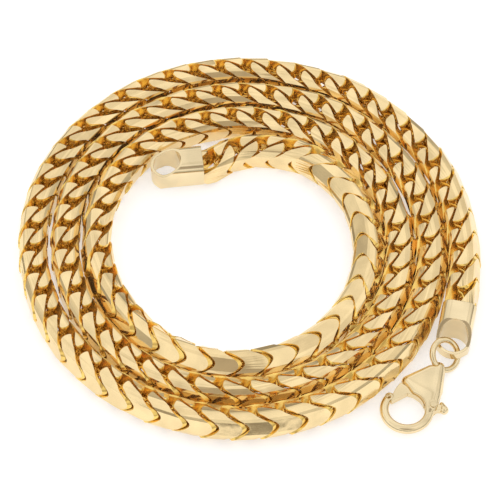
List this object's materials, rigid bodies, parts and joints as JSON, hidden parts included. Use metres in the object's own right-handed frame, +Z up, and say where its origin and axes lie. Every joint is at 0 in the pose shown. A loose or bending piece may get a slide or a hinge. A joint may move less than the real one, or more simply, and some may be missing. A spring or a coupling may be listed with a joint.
{
  "type": "franco chain necklace",
  "caption": "Square-section chain of interlocking V-shaped links lying in a flat coil, with two sleeve-like end caps, a jump ring and a lobster clasp with a sprung lever.",
  "frame": {"origin": "centre of the bounding box's underside, on the surface that the chain lies on", "axes": "+Z up from the surface; -Y is the side that the picture was taken from; +X to the right as seen from there"},
  "size_m": [0.0609, 0.0606, 0.0049],
  "materials": {
    "chain_gold": "polished yellow gold, milled flat facets",
    "polished_gold": "smooth polished yellow gold"
  },
  "bodies": {
    "necklace": {"chain": "chain_gold", "end_cap_clasp": "polished_gold", "end_cap_free": "polished_gold", "jump_ring": "polished_gold", "clasp_body": "polished_gold", "lever_pin": "polished_gold"},
    "lever": {"clasp_lever": "polished_gold"}
  },
  "joints": [
    {"name": "lever_hinge", "type": "hinge", "parent": "necklace", "child": "lever", "pos_m": [0.02357, -0.02549, 0.0012], "axis": [0, 0, 1], "range_deg": [0, 22], "stiffness_Nm_per_rad": 0.002, "springref_deg": -11.46}
  ]
}
